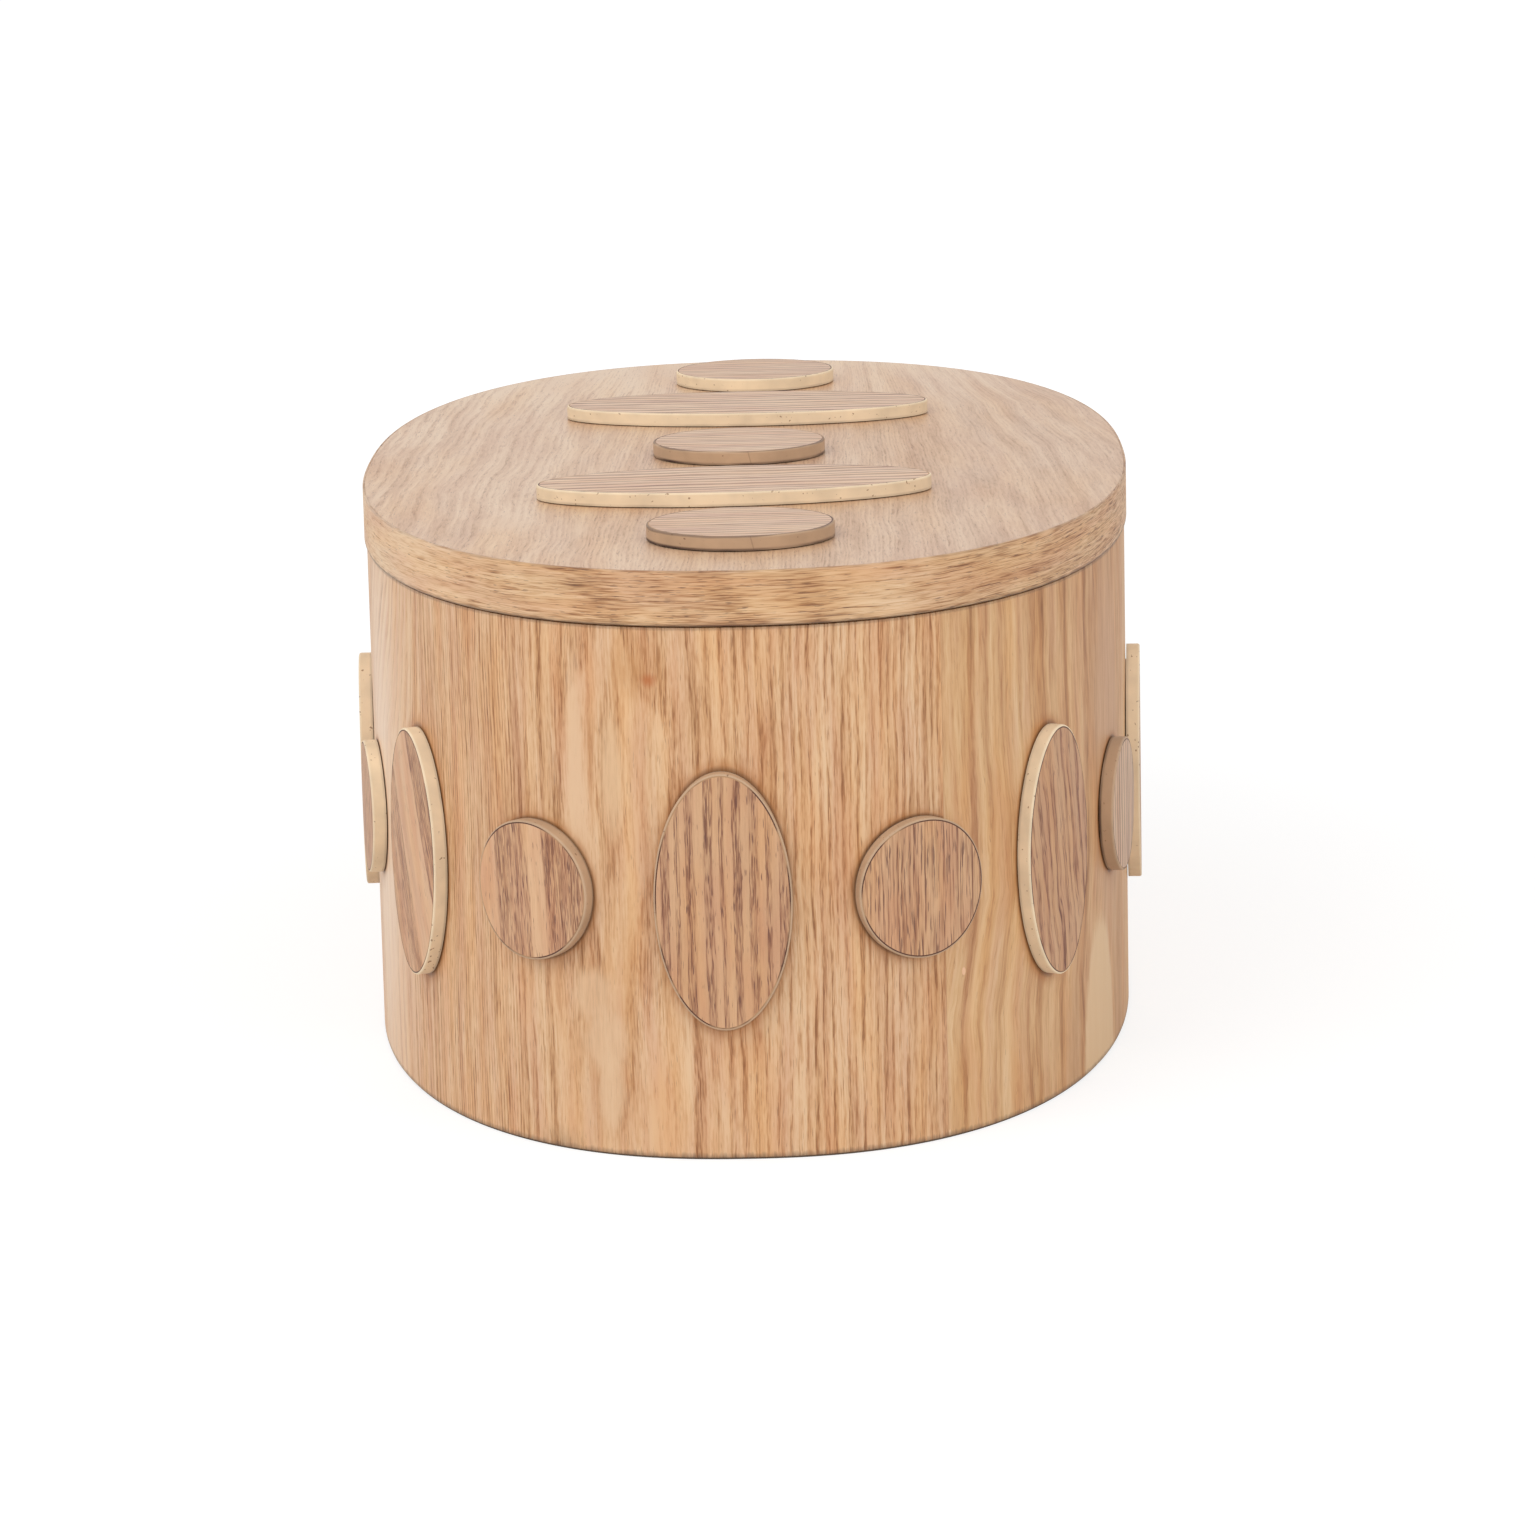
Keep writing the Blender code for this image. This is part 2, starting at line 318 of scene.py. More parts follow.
def glueAndShadeRoundTrims(tree, board, colour, ragged, halos, look):
    # glue, polish and painted shade darken the leaf round each trim; the thin dark seam where they meet is
    # glue and painted contact shadow
    nearest = reachFrom(tree, board, *halos[0])
    for halo in halos[1:]:
        reach = reachFrom(tree, board, *halo)
        nearest = add(tree, "Math", {0: nearest, 1: reach}, operation="MINIMUM")
    rough = add(tree, "Math", {0: ragged, 1: ash["haloRagged"], 2: nearest}, operation="MULTIPLY_ADD")
    start, end = ash["haloFade"]
    mask = add(tree, "MapRange", {0: rough, 1: start, 2: end, 3: look["haloStrength"], 4: 0.0},
               interpolation_type="SMOOTHSTEP")
    colour = add(tree, "Mix", {0: mask, 6: colour, 7: linearColour(look["halo"])}, data_type="RGBA")
    start, end = ash["seamFade"]
    seam = add(tree, "MapRange", {0: nearest, 1: start, 2: end, 3: look["seamStrength"], 4: 0.0})
    return add(tree, "Mix", {0: seam, 6: colour, 7: linearColour(look["seam"])}, data_type="RGBA")


def shadedAndSoiledEdges(tree, board, colour, seed, shadedAndSoiled):
    # painted shade along an edge, with dirt and polish on some, broken up along it
    split = add(tree, "SeparateXYZ", {0: board})
    for shadeAndSoil in shadedAndSoiled:
        noise = streaks(tree, board, *shadeAndSoil["grain"], seed + 29)
        near = add(tree, "Math", {0: noise, 1: shadeAndSoil["ragged"], 2: split.outputs[shadeAndSoil["axis"]]},
                   operation="MULTIPLY_ADD")
        mask = add(tree, "MapRange", {0: near, 1: shadeAndSoil["clear"], 2: shadeAndSoil["full"], 4: shadeAndSoil["strength"]})
        colour = add(tree, "Mix", {0: mask, 6: colour, 7: linearColour(shadeAndSoil["colour"])}, data_type="RGBA")
    return colour


def ashMaterial(name, figure, look, spots=(), halos=(), shadedAndSoiled=()):
    material, tree, shader, board = woodMaterial(name, look["roughness"][0])
    seed = figure["seed"]
    laid, place, along = layGrain(tree, board, figure)
    porous = porousBands(tree, laid, place, along, figure, look)
    dark = add(tree, "Math", {0: porous, 1: look["ringWeight"], 2: look["ground"]}, operation="MULTIPLY_ADD")
    dark, porous = darkPlaces(tree, laid, place, along, dark, porous, figure, look)
    dark = fibreLines(tree, laid, dark, porous, seed, look)
    tones = [(at, linearColour(tone)) for at, tone in look["tones"]]
    colour = add(tree, "ValToRGB", {0: dark}, stops=tones)
    for k, (tint, across, length, most) in enumerate(look["tints"]):
        cloud = streaks(tree, laid, across, length, seed + 31 + 4 * k, 2, ash["cloudSpan"], (0.0, most))
        colour = add(tree, "Mix", {0: cloud, 6: colour, 7: linearColour(tint)}, data_type="RGBA",
                     blend_type="MULTIPLY")

    # the open pores are dashes 0.2 mm wide in the real leaf, drawn wider to show
    across, length, gateAt, crowding, most = look["pores"]
    noise = streaks(tree, laid, across, length, seed + 17)
    gate = add(tree, "Math", {0: porous, 1: -crowding, 2: gateAt}, operation="MULTIPLY_ADD")
    top = add(tree, "Math", {0: gate, 1: ash["poreFade"]}, operation="ADD")
    pores = add(tree, "MapRange", {0: noise, 1: gate, 2: top, 4: most})
    colour = add(tree, "Mix", {0: pores, 6: colour, 7: linearColour(look["pore"])}, data_type="RGBA")

    ragged = streaks(tree, board, *ash["spotGrain"], seed + 23, detail=2)
    colour = ovalSpots(tree, board, colour, ragged, spots)
    if halos:
        colour = glueAndShadeRoundTrims(tree, board, colour, ragged, halos, look)
    colour = shadedAndSoiledEdges(tree, board, colour, seed, shadedAndSoiled)
    tree.links.new(colour.outputs[2], shader.inputs["Base Color"])

    sheen = add(tree, "MapRange", {0: dark, 3: look["roughness"][0], 4: look["roughness"][1]})
    tree.links.new(sheen.outputs[0], shader.inputs["Roughness"])
    hollow = add(tree, "Math", {0: dark, 1: ash["lineDepth"], 2: pores}, operation="MULTIPLY_ADD")
    bump = add(tree, "Bump", {"Height": hollow, "Strength": look["bump"], "Distance": ash["poreDepth"]},
               invert=True)
    tree.links.new(bump.outputs[0], shader.inputs["Normal"])
    return material


# how dark a ring is from its porous start to its smooth end
ringProfile = ((0.0, 0.15), (0.08, 1.0), (0.35, 0.9), (0.6, 0.25), (0.85, 0.0), (1.0, 0.15))
stripeProfile = ((0.0, 0.0), (0.06, 0.9), (0.3, 1.0), (0.5, 0.8), (0.6, 0.0), (1.0, 0.0))
evenProfile = ((0.0, 1.0), (1.0, 1.0))

# Stained ash veneer, knife-cut and sanded: warm tan, smooth late wood between coarse dark porous lines
# tones: colours from the palest wood to the darkest line
# patches: mm across and along, and the least and most that a ring keeps of its darkness
# lines: mm across and along, the noise they start and end at, weight, how far they keep to the porous bands
# tints: colour, mm across and along, and the most of it
# pores: mm across and along, the noise they start at, how much they crowd in the porous bands, and strength
wallLook = {
    "roughness": (0.42, 0.56), "bump": 0.5, "ground": -0.15, "bandLeast": 1.0,
    "tones": ((0.0, "#E4BF97"), (0.3, "#D8AC81"), (0.62, "#C08F62"), (1.0, "#98673F")),
    "ringProfile": ringProfile, "ringVariety": 0.45, "ringWeight": 0.3, "patches": (0.9, 18, 0.5, 1.15),
    "lines": ((4.0, 70, 0.4, 0.64, 0.28, 0), (1.3, 34, 0.42, 0.66, 0.2, 0.5),
              (0.55, 14, 0.45, 0.64, 0.34, 0.6), (0.3, 5, 0.45, 0.64, 0.48, 0.6),
              (0.6, 3, 0.48, 0.68, 0.12, 0)),
    "tints": (("#FFF1DC", 9, 60, 0.8), ("#F6ECEE", 6, 50, 0.9)),
    "pores": (0.28, 5.0, 0.7, 0.12, 0.5), "pore": "#8A5B3A",
    # halo and seam colours: glue stain with painted shade, and glue with painted contact shadow
    "halo": "#B37238", "haloStrength": 0.52, "seam": "#663F20", "seamStrength": 0.55,
}
rightLook = dict(
    wallLook, ground=-0.08, ringWeight=0.1, bandLeast=0.55, haloStrength=0.68,
    tones=((0.0, "#E3BF94"), (0.3, "#D6AB7B"), (0.62, "#BC8A5C"), (1.0, "#8E5F3A")),
    lines=((3.0, 80, 0.4, 0.64, 0.14, 0), (1.4, 30, 0.42, 0.66, 0.1, 0), (0.6, 14, 0.45, 0.68, 0.14, 0),
           (0.33, 5, 0.5, 0.7, 0.16, 0)),
    pores=(0.3, 4.0, 0.74, 0.1, 0.4))
lidLook = dict(
    wallLook, roughness=(0.36, 0.52), ground=-0.03, ringWeight=0.22, patches=(1.1, 9, 0.2, 1.25),
    tones=((0.0, "#DABB9B"), (0.3, "#CAA789"), (0.62, "#B28E71"), (1.0, "#8A6850")),
    lines=((5.0, 90, 0.4, 0.64, 0.18, 0), (1.5, 40, 0.42, 0.66, 0.13, 0.2),
           (0.6, 10, 0.45, 0.68, 0.18, 0.4), (0.3, 3.5, 0.5, 0.7, 0.18, 0.5)),
    tints=(("#FFF5E2", 16, 90, 0.8), ("#F6EEEA", 12, 70, 0.8)),
    pores=(0.3, 3.5, 0.68, 0.1, 0.5), pore="#7C5948")
rimLook = dict(
    wallLook, ground=0.02, ringVariety=0.6, ringWeight=0.06, patches=(2, 20, 0.3, 1.2), fleckPores=1.8,
    tones=((0.0, "#E7C59F"), (0.3, "#D7AF84"), (0.62, "#B5875C"), (1.0, "#7E5436")),
    lines=((2.5, 40, 0.42, 0.64, 0.16, 0), (0.7, 14, 0.44, 0.66, 0.22, 0.5),
           (0.3, 8, 0.45, 0.64, 0.56, 0.5)),
    pores=(0.26, 4.0, 0.69, 0.14, 0.68), pore="#684836")
trimLook = dict(
    wallLook, ground=0.0, ringProfile=stripeProfile, ringVariety=0.3, ringWeight=0.26,
    patches=(0.9, 22, 0.6, 1.15),
    tones=((0.0, "#D6AA82"), (0.3, "#C69A74"), (0.62, "#A67858"), (1.0, "#7C503A")),
    lines=((2.0, 50, 0.42, 0.66, 0.12, 0), (0.5, 11, 0.43, 0.6, 0.42, 0.85),
           (0.3, 5, 0.45, 0.6, 0.42, 0.8)),
    tints=(("#FFF3E2", 6, 40, 0.7), ("#F4E8EA", 5, 30, 0.8)),
    pores=(0.32, 5.0, 0.68, 0.12, 0.8), pore="#6B4237")
wavyLook = dict(trimLook, ground=0.13, ringVariety=0.6, ringWeight=0.34, patches=(1.4, 14, 0.2, 1.2))
fineLook = dict(
    trimLook, ground=-0.06, ringProfile=ringProfile, ringVariety=0.4, ringWeight=0.28,
    patches=(0.8, 12, 0.2, 1.2),
    lines=((2.0, 50, 0.42, 0.66, 0.12, 0), (0.8, 16, 0.45, 0.62, 0.34, 0.2),
           (0.36, 7, 0.44, 0.6, 0.5, 0.6)),
    pores=(0.42, 7, 0.65, 0.12, 0.8), pore="#75503F")
lidTrimLook = dict(
    trimLook, roughness=(0.36, 0.52), ringWeight=0.55,
    tones=((0.0, "#DDBC9A"), (0.3, "#CFAB8A"), (0.62, "#A9856A"), (1.0, "#7A5742")),
    lines=((2.0, 50, 0.42, 0.66, 0.12, 0), (0.5, 14, 0.43, 0.62, 0.25, 0.6),
           (0.3, 6, 0.45, 0.62, 0.25, 0.6)),
    pores=(0.26, 7, 0.72, 0.1, 0.5), pore="#7A5546")
lidFineLook = dict(lidTrimLook, ground=0.04, ringProfile=ringProfile, ringWeight=0.5)
blockLook = dict(
    trimLook, ringProfile=evenProfile, ringVariety=0.0, ringWeight=0.26, patches=(1.2, 22, 0.6, 1.1),
    tones=((0.0, "#E0B68E"), (0.3, "#CDA17B"), (0.62, "#AC7E5E"), (1.0, "#7C503A")))

# sway and wobble: mm to each side, over mm across and along; steps: mm aside at each place along the grain
# rings: place in mm and rings counted from the heart; flame: height in mm and rings added over the heart
# bands: place in mm and how much darker the leaf is there; heights and flecks: the same along the grain
leftFigure = {
    "seed": 2.0, "sway": 1.8, "swayOver": (30, 60), "wobble": 0.16, "uneven": 0.8,
    "rings": ((-484, -150), (-400, -105), (-330, -80), (-260, -66), (-190, -56.5), (-137, -50), (-110, -39),
              (-70, -6.5), (-58, -2.3), (-53, -1.55), (-47, -1.1), (-40.5, -0.8), (-36, 0), (-31, 0.8),
              (-26.7, 1.2), (-21, 1.35), (-16, 1.9), (-12, 2.9), (-6, 4.3), (12, 9.9), (60, 30.7)),
    "heart": -36, "blunt": 0.6, "flameReach": 34,
    "flame": ((0, 1.55), (5, 1.4), (20, 1.15), (40, 0.85), (60, 0.6), (74, 0.4), (84, 0.1), (90, 0.0),
              (115, 0.0), (124, 0.15), (131, 0.4), (147, 0.75)),
    "ringStrength": ((-484, 0.8), (-137, 1.0), (-110, 0.9), (-60, 0.9), (-36, 0.7), (-4, 1.0), (60, 1.1)),
    "bands": ((-484, 0.0), (-220, 0.0), (-190, -0.22), (-150, -0.22), (-132, 0.0), (-80, 0.06), (-56, 0.0),
              (-46, -0.06), (-38, 0.0), (-30, -0.03), (0, 0.02), (30, -0.04), (50, 0.0), (60, 0.07)),
    "heights": ((0, -0.03), (60, 0.0), (147, 0.04)),
    "steps": ((0, 0), (80, 0), (100, -4), (147, -38)),
    "stepShare": ((-260, 0.0), (-200, 1.0), (-155, 1.0), (-118, 0.0)),
}
rightFigure = {
    "seed": 5.0, "sway": 2.6, "swayOver": (26, 40), "wobble": 0.7, "uneven": 0.8,
    "rings": ((59, 0), (140, 14), (200, 20), (320, 60), (480, 140), (603, 180)),
    "bands": ((55, 0.2), (60, 0.12), (63, 0.0), (65, 0.3), (66.5, 0.05), (70, 0.5), (71.5, 0.05), (75, 0.05),
              (77, 0.45), (78.5, 0.05), (81, 0.1), (84, 0.5), (86, 0.05), (92, 0.05), (96, 0.15), (98, 0.3),
              (100.6, 0.55), (102.5, 0.3), (105.5, 0.6), (108, 0.2), (115, 0.2), (119, 0.4), (121.5, 0.6),
              (124, 0.25), (126, 0.2), (135.5, 0.2), (138, 0.65), (142, 0.4), (185, 0.35), (235, 0.08),
              (603, 0.04)),
    "heights": ((0, 0.0), (80, 0.02), (147, 0.1)),
    "steps": ((0, 4.5), (30, 4.5), (45, 2), (65, -3), (85, -2), (125, 0), (147, 0)),
    "stepShare": ((55, 1.0), (150, 1.0), (230, 0.0)),
}
lidFigure = {
    "seed": 9.0, "sway": 6.0, "swayOver": (28, 60), "wobble": 0.3, "uneven": 1.4,
    "calm": ((-118, 0.5), (-55, 0.55), (-25, 0.25), (45, 0.3), (118, 0.5)),     # share of the sway
    "rings": ((-118, 10), (-60, 29), (-40, 40), (60, 122), (118, 158)),
    "ringStrength": ((-118, 1.0), (40, 1.0), (75, 0.55), (118, 0.65)),
    "bands": ((-118, 0.0), (-30, 0.02), (0, 0.04), (50, 0.14), (118, 0.14)),
    # heights: the lid grows paler towards its back, a painted reflection of the white surroundings
    "heights": ((-215, 0.02), (0, 0.0), (110, -0.06), (160, -0.18), (215, -0.3)),
    "steps": ((-218, -8), (-60, -3), (0, 0), (100, 12), (190, 35), (218, 42)),
    "stepShare": ((-118, -0.3), (-50, -0.3), (-15, 0.0), (30, 0.0), (90, 1.0)),
}
rimFigure = {
    "seed": 13.0, "lean": 0.012, "sway": 0.8, "swayOver": (12, 45), "wobble": 0.15, "uneven": 1.2,
    "rings": ((100, 0), (200, 62)),
    "heights": ((-545, 0.06), (-300, 0.06), (-200, 0.0), (57, 0.0), (80, 0.07), (545, 0.06)),
    "flecks": ((-545, 0.01), (-300, -0.03), (-190, -0.07), (-110, -0.12), (-90, 0.0), (-70, 0.06),
               (-57, -0.04), (-47, 0.0), (-42, 0.26), (-34, 0.22), (-30, 0.02), (-24, 0.1), (-18, 0.2),
               (-11, 0.06), (-6, 0.26), (0, 0.22), (4, 0.0), (11, -0.02), (15, 0.15), (24, 0.11),
               (30, -0.05), (45, -0.05), (50, 0.1), (57, 0.04), (75, 0.07), (150, 0.09), (300, 0.03),
               (545, 0.01)),
    "fleckSlant": 0.7, "fleckLevel": 155, "fleckRagged": (0.7, 12, 12.0),
}
liningFigure = dict(leftFigure, seed=19.0)
stripedFigure = {
    "seed": 21.0, "sway": 0.6, "swayOver": (12, 50), "wobble": 0.25, "uneven": 1.2,
    "rings": ((-200, 0), (200, 97.3)),
}
fineFigure = dict(stripedFigure, seed=27.0, rings=((-200, 0), (200, 348)))
wavyFigure = dict(stripedFigure, seed=24.0, sway=2.2, swayOver=(9, 22), wobble=0.6,
                  rings=((-200, 0), (200, 100)))
blockFigure = dict(
    stripedFigure, seed=31.0, wobble=0.15,
    ringStrength=((-60, 0.4), (-34, 0.5), (-27, 0.8), (-25.5, 0.0), (-11.6, 0.0), (-11.2, 1.0), (-8, 0.8),
                  (-2, 0.75), (0.6, 0.6), (1.4, 0.0), (5.9, 0.0), (6.4, 1.0), (10, 0.8), (13, 0.75),
                  (18, 0.9), (60, 0.8)))
lidTrimFigure = dict(stripedFigure, seed=37.0, sway=2.4, swayOver=(16, 45), uneven=1.0,
                     rings=((-200, 0), (200, 87)))
lidFineFigure = dict(lidTrimFigure, seed=41.0, sway=1.4, rings=((-200, 0), (200, 118)))

# spots: place across and along and half width and half height, all in mm; raggedness; where the fade begins,
# with 0 in the middle; strength and colour
leftMarks = (
    # the first spot is a painted highlight, paling the leaf's left side where the light and sheen fall
    (-178, 72, 48, 145, 0.3, 0.2, 0.68, "#F6DEC6"),  # the leaf is paler towards its left side
    (-36, 106, 4.8, 24, 0.4, 0.5, 0.75, "#E0BA91"),  # pale heart of the flame
    (-47.3, 108, 3.6, 42, 0.4, 0.5, 0.85, "#E2BC96"),  # pale streak beside it
    (-33, 58, 7, 24, 0.9, 0.1, 0.3, "#C88F58"),  # browner over the V
    (-40, 28, 14, 34, 0.7, 0.3, 0.4, "#BA8250"),  # and round it
    (-55, 2, 12, 6, 0.9, 0.1, 0.4, "#7A6248"),  # a stain at the foot
    (-44, 45, 8.5, 10, 0.35, 0.6, 0.6, "#E3BF99"),  # the pale V, from its top down
    (-40, 32, 9, 12, 0.35, 0.6, 0.7, "#E3BF99"),
    (-38.7, 18, 5.5, 14, 0.35, 0.6, 0.7, "#E3BF99"),
    (-26, 112, 5, 32, 0.9, 0.1, 0.2, "#C48A52"),  # browner right of the flame
    (-42.5, 107, 1.4, 30, 0.6, 0.3, 0.35, "#BE8550"),  # brown line between the two pale ones
    (-29, 136, 13, 12, 0.7, 0.1, 0.6, "#C08750"),  # the wood round the knot
    (-24.8, 133, 3.6, 2.7, 0.6, 0.2, 0.8, "#B4642E"),  # and its small heart
)
rightMarks = (
    # the first spot is painted shade, dulling the leaf's right side, which turns from the light
    (165, 90, 25, 80, 0.4, 0.6, 0.6, "#C89C78"),  # duller towards the right side
    (124, 8, 8, 30, 0.5, 0.4, 0.5, "#C4956C"),  # browner left of the pale patch
    (129, 22, 13, 48, 0.9, 0.1, 0.4, "#A8744C"),
    (183, 20, 16, 60, 0.4, 0.5, 0.45, "#B98D68"),  # and right of it
    (153, 0, 20, 47, 0.15, 0.9, 0.95, "#E0BC91"),  # the pale patch at the foot
    (65.8, 46.2, 0.8, 1.3, 0.3, 0.8, 0.9, "#F0C09A"),  # two small chips
    (59.5, 1.6, 0.8, 0.9, 0.3, 0.8, 0.8, "#EAC39C"),
)
lidClouds = (  # paler clouds at the front left and the middle
    (-67, -128, 15, 22, 0.6, 0.2, 0.6, "#D3B191"),
    (-45, -142, 5, 20, 0.6, 0.2, 0.6, "#D8B898"),
    (-53, 0, 4, 18, 0.6, 0.2, 0.6, "#D6B697"),
)
# painted shade darkens the foot of the wall, its top under the lid and the lower edge of the lid's band; a
# dark stain runs along the band's upper edge: clear and full in mm
wallShade = (
    {"axis": 2, "clear": 2.8, "full": 1.2, "strength": 0.75, "ragged": 1.6, "grain": (0.7, 3),
     "colour": "#5F4838"},
    {"axis": 2, "clear": 146.7, "full": 147.2, "strength": 0.3, "ragged": 0.6, "grain": (0.7, 3),
     "colour": "#402A1C"},
)
rimShadeAndStain = (
    {"axis": 0, "clear": 150.5, "full": 148.6, "strength": 0.75, "ragged": 3.0, "grain": (0.35, 6),
     "colour": "#6A452C"},
    {"axis": 0, "clear": 148.8, "full": 148.2, "strength": 0.5, "ragged": 0.5, "grain": (0.35, 6),
     "colour": "#3E281A"},
    {"axis": 0, "clear": 162.9, "full": 163.6, "strength": 0.35, "ragged": 1.4, "grain": (4, 7),
     "colour": "#6A5348"},
)

# The ovals and rounds, and how far round the wall each one sits as a share of the whole way
trim = {
    "thickness": 0.0040, "arris": 0.0005, "line": 0.00035, "segments": 112, "columnWidth": 0.0012,
    "roundWidth": 0.0388, "ovalWidth": 0.0368, "ovalHeight": 0.0710, "middle": 0.0728,
    "lidRound": 0.0522, "lidOval": 0.1148,
    "frontShares": (-0.225, -0.174, -0.114, -0.057, -0.005, 0.046, 0.0995, 0.1575, 0.2145),
    "rearCount": 9,
    "patternStep": 90.0,        # mm along the grain from one disc's pattern to the next
}
firstShare, lastShare = trim["frontShares"][0] + 1, trim["frontShares"][-1]
rearStep = (firstShare - lastShare) / (trim["rearCount"] + 1)
sideShares = trim["frontShares"] + tuple(lastShare + rearStep * (k + 1) for k in range(trim["rearCount"]))


def haloPlaces(start, end):
    # middle, height, half width and half height in mm of the trims on the leaf between these distances
    for k, share in enumerate(sideShares):
        width, height = (trim["roundWidth"],) * 2 if k % 2 else (trim["ovalWidth"], trim["ovalHeight"])
        for middle in (share * perimeter, (share - 1) * perimeter):
            if start < middle < end:
                yield 1000 * middle, 1000 * trim["middle"], 500 * width, 500 * height


firstJoint = 0.0545 * perimeter     # where the two leaves of the wall meet
secondJoint = firstJoint + perimeter / 2
leftHalos = list(haloPlaces(secondJoint - perimeter, firstJoint))
rightHalos = list(haloPlaces(firstJoint, secondJoint))

ashWallLeft = ashMaterial("ashVeneerWallLeft", leftFigure, wallLook, leftMarks, leftHalos, wallShade)
ashWallRight = ashMaterial("ashVeneerWallRight", rightFigure, rightLook, rightMarks, rightHalos, wallShade)
ashLid = ashMaterial("ashVeneerLid", lidFigure, lidLook, lidClouds)
ashRim = ashMaterial("ashVeneerRim", rimFigure, rimLook, shadedAndSoiled=rimShadeAndStain)
ashLining = ashMaterial("ashVeneerLining", liningFigure, wallLook)
trimFaces = {
    "striped": ashMaterial("ashTrimStriped", stripedFigure, trimLook),
    "fine": ashMaterial("ashTrimFine", fineFigure, fineLook),
    "wavy": ashMaterial("ashTrimWavy", wavyFigure, wavyLook),
    "broad": ashMaterial("ashTrimBroad", blockFigure, blockLook),
    "lid": ashMaterial("ashTrimLid", lidTrimFigure, lidTrimLook),
    "lidFine": ashMaterial("ashTrimLidFine", lidFineFigure, lidFineLook),
}
print("ash materials made")

discEdge = {                    # depths in mm from the underside of a disc; places in mm along the grain
    "noises": ((0.12, 3.0), (0.05, 2.0), (0.9, 1.0)),       # scale and detail of clouds, patches and specks
    "cloudSpan": (0.3, 0.7), "cloudTone": (0.9, 1.08),
    "crowdedSpan": (0.55, 0.65), "crowding": 0.05, "speckFade": 0.04, "speckStrength": 0.75,
    # glue: dark glue with a painted shadow at the foot of each edge
    "glue": "#3A1E12", "glueAndShadeDepths": (0.35, 0.8), "glueAndShadeSpan": (0.38, 0.6),
    "worn": "#4A3024", "wornDepths": (4.5, 4.85), "wornRagged": 2.0, "wornStrength": 0.6,
    "crack": "#5A3A2A", "crackAt": 4.0, "crackSlope": 0.25, "crackHalfWidth": 0.16, "crackStrength": 0.28,
}


def edgeMaterial(name, colour, speckColour, speckGate, footGlueAndShade, cracked=False):
    # The sawn and sanded edge of a disc: even pale wood with a few dark specks, and dark glue with painted
    # shadow at its foot
    # a cracked one also has a worn dark edge under its face
    material, tree, shader, board = woodMaterial(name, 0.6)
    cloud, patchy, speck = [
        add(tree, "TexNoise", {"Vector": board, "Scale": scale, "Detail": detail})
        for scale, detail in discEdge["noises"]]
    start, end = discEdge["cloudSpan"]
    low, high = discEdge["cloudTone"]
    cloud = add(tree, "MapRange", {0: cloud, 1: start, 2: end, 3: low, 4: high})
    final = add(tree, "Mix", {0: 1.0, 6: linearColour(colour), 7: cloud}, data_type="RGBA",
                blend_type="MULTIPLY")
    start, end = discEdge["crowdedSpan"]
    crowded = add(tree, "MapRange", {0: patchy, 1: start, 2: end, 4: discEdge["crowding"]})
    speck = add(tree, "Math", {0: speck, 1: crowded}, operation="ADD")
    speck = add(tree, "MapRange", {0: speck, 1: speckGate, 2: speckGate + discEdge["speckFade"],
                                   4: discEdge["speckStrength"]})
    final = add(tree, "Mix", {0: speck, 6: final, 7: linearColour(speckColour)}, data_type="RGBA")

    split = add(tree, "SeparateXYZ", {0: board})
    depth = add(tree, "Math", {0: split.outputs[1]}, operation="ABSOLUTE")
    # dark glue with painted shadow along the lowest part of the edge, patchy round it
    start, end = discEdge["glueAndShadeSpan"]
    share = add(tree, "MapRange", {0: patchy, 1: start, 2: end, 3: footGlueAndShade / 3, 4: footGlueAndShade})
    start, end = discEdge["glueAndShadeDepths"]
    foot = add(tree, "MapRange", {0: depth, 1: start, 2: end, 3: 1.0, 4: 0.0})
    glue = add(tree, "Math", {0: foot, 1: share}, operation="MULTIPLY")
    final = add(tree, "Mix", {0: glue, 6: final, 7: linearColour(discEdge["glue"])}, data_type="RGBA")
    if cracked:
        edge = add(tree, "Math", {0: patchy, 1: discEdge["wornRagged"], 2: depth}, operation="MULTIPLY_ADD")
        start, end = discEdge["wornDepths"]
        worn = add(tree, "MapRange", {0: edge, 1: start, 2: end, 4: discEdge["wornStrength"]})
        final = add(tree, "Mix", {0: worn, 6: final, 7: linearColour(discEdge["worn"])}, data_type="RGBA")
        # each disc has the crack at the same place in its own stretch of the pattern
        place = add(tree, "Math", {0: depth, 1: discEdge["crackSlope"], 2: split.outputs[2]},
                    operation="MULTIPLY_ADD")
        place = add(tree, "Math", {0: place, 1: trim["patternStep"]}, operation="MODULO")
        gap = add(tree, "Math", {0: place, 1: discEdge["crackAt"], 2: discEdge["crackHalfWidth"]},
                  operation="COMPARE")
        gap = add(tree, "Math", {0: gap, 1: discEdge["crackStrength"]}, operation="MULTIPLY")
        final = add(tree, "Mix", {0: gap, 6: final, 7: linearColour(discEdge["crack"])}, data_type="RGBA")
    tree.links.new(final.outputs[2], shader.inputs["Base Color"])
    return material


trimEdges = {
    "cream": edgeMaterial("ashTrimEdgeCream", "#EDD7B6", "#8A6240", 0.72, 0.3),
    "tan": edgeMaterial("ashTrimEdgeTan", "#BF9F80", "#7A573C", 0.74, 0.85),
    "lid": edgeMaterial("ashTrimEdgeLid", "#BF9F80", "#7A573C", 0.74, 0.95, cracked=True),
}

